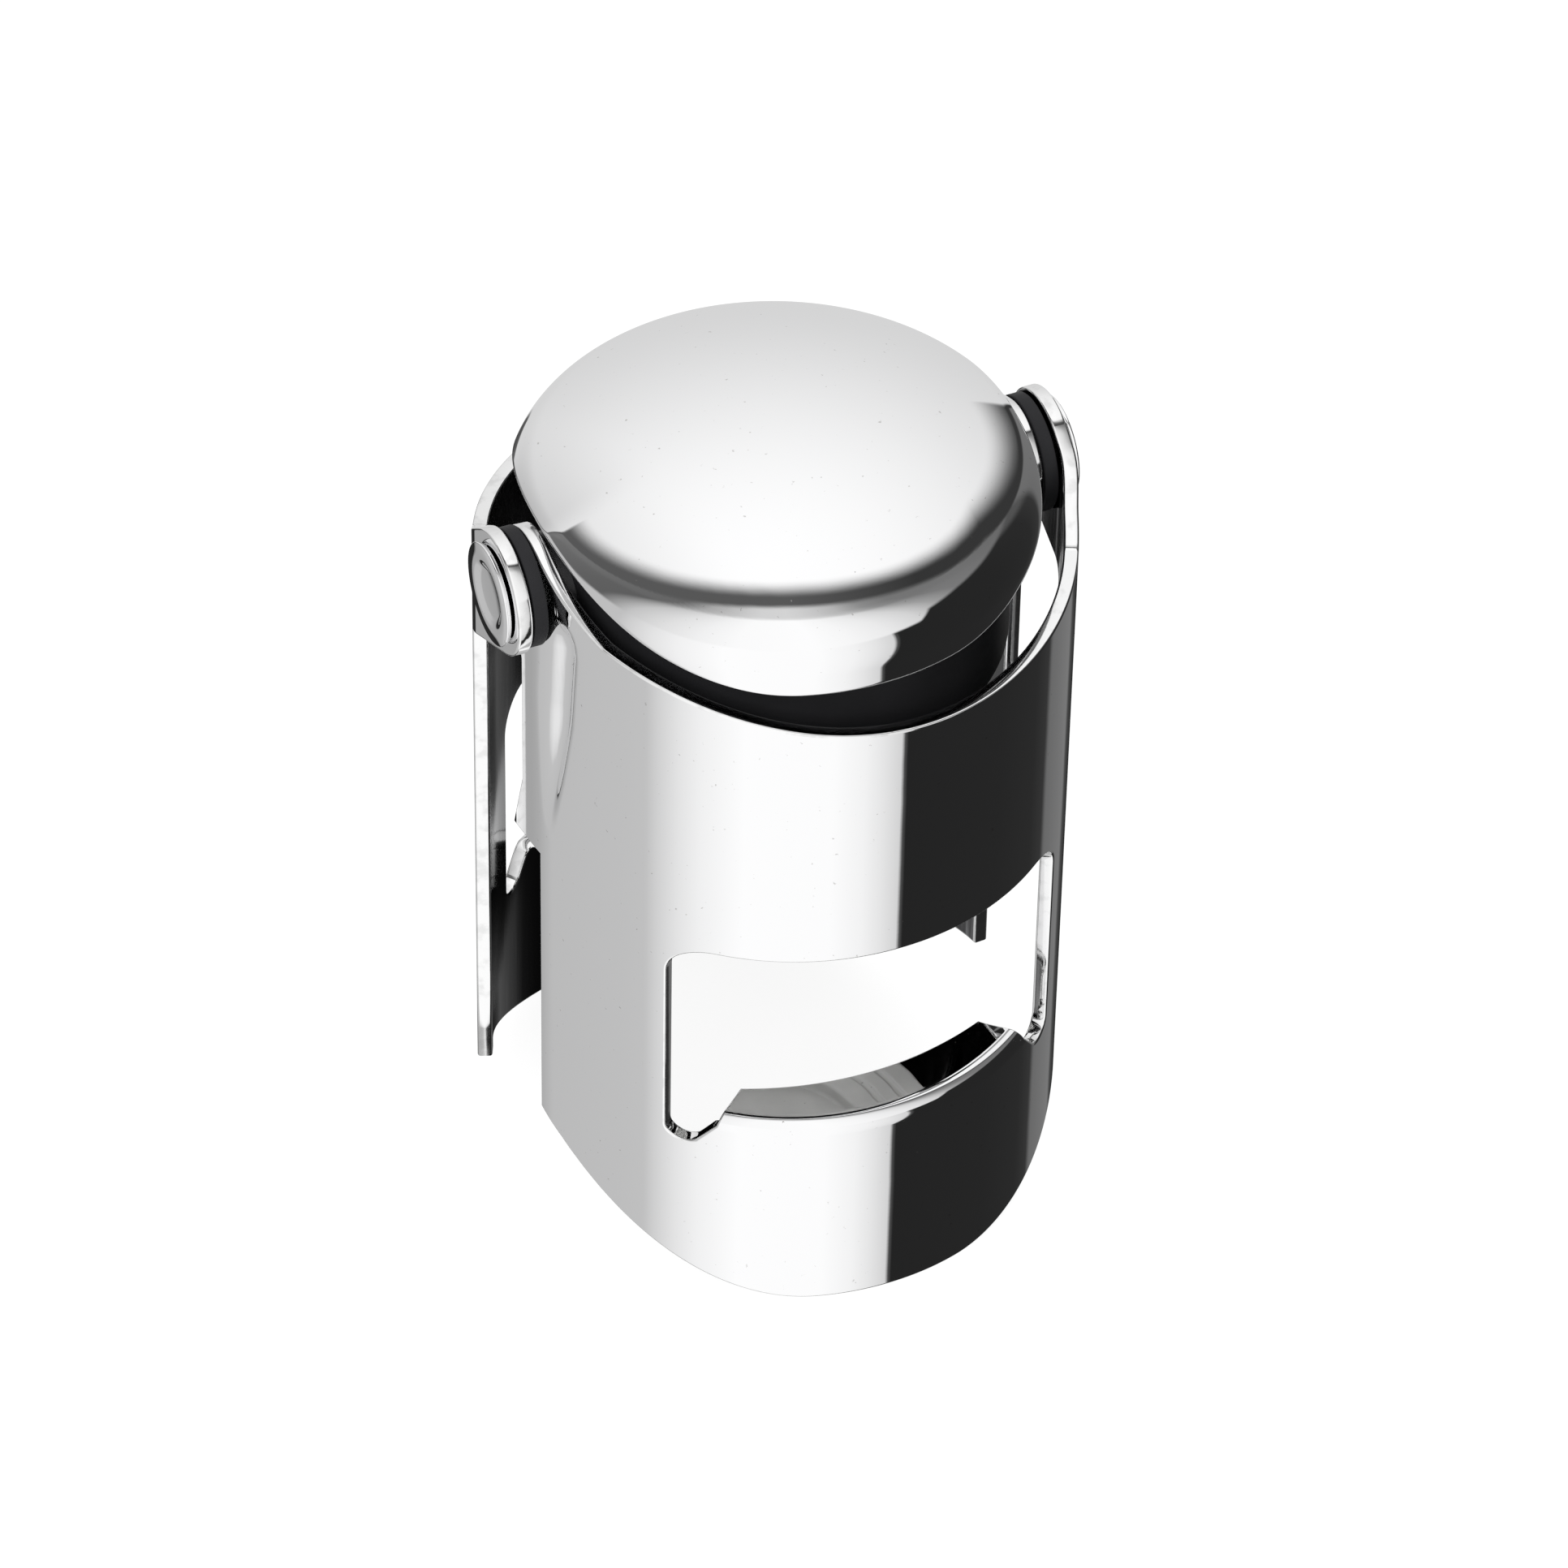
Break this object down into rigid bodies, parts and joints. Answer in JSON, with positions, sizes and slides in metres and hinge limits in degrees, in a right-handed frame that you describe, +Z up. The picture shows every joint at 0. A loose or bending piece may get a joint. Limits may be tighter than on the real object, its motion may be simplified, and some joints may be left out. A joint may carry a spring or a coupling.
{
  "type": "sparkling wine bottle stopper",
  "caption": "Domed metal bottle stopper with hinged hook arms, rivets and a spring-loaded rubber seal for sparkling wine.",
  "frame": {"origin": "on the cap's vertical axis, level with the lower edges of the two closed arms", "axes": "+Z up through the crown of the cap, +X along the hinge axis to the front arm's outer ear, -Y to the front arm"},
  "size_m": [0.0396, 0.0378, 0.062],
  "materials": {
    "chrome_cap": "mirror-polished chrome plate on drawn sheet steel",
    "chrome_arm": "mirror-polished chrome plate outside, finely drawn streaks inside",
    "chrome_rivet": "polished chrome plate with a dished head",
    "black_plastic": "satin black moulded plastic",
    "grey_plastic": "satin dark grey moulded plastic",
    "seal_rubber": "matte light grey moulded rubber",
    "spring_steel": "plain drawn spring steel"
  },
  "bodies": {
    "cap_body": {"cap": "chrome_cap", "left_rivet": "chrome_rivet", "right_rivet": "chrome_rivet", "housing": "black_plastic"},
    "front_arm_body": {"front_arm": "chrome_arm"},
    "rear_arm_body": {"rear_arm": "chrome_arm"},
    "seal_body": {"plunger": "grey_plastic", "retaining_clip": "spring_steel", "seal": "seal_rubber", "spring": "spring_steel"}
  },
  "joints": [
    {"name": "front_arm_hinge", "type": "hinge", "parent": "cap_body", "child": "front_arm_body", "pos_m": [0, 0, 0.0527], "axis": [-1, 0, 0], "range_deg": [-4, 6.5]},
    {"name": "rear_arm_hinge", "type": "hinge", "parent": "cap_body", "child": "rear_arm_body", "pos_m": [0, 0, 0.0527], "axis": [1, 0, 0], "range_deg": [-4, 6.5]},
    {"name": "seal_slide", "type": "slide", "parent": "cap_body", "child": "seal_body", "axis": [0, 0, 1], "range_m": [0, 0.004], "stiffness_N_per_m": 4000, "springref_m": -0.004, "deforming": ["spring"]}
  ]
}
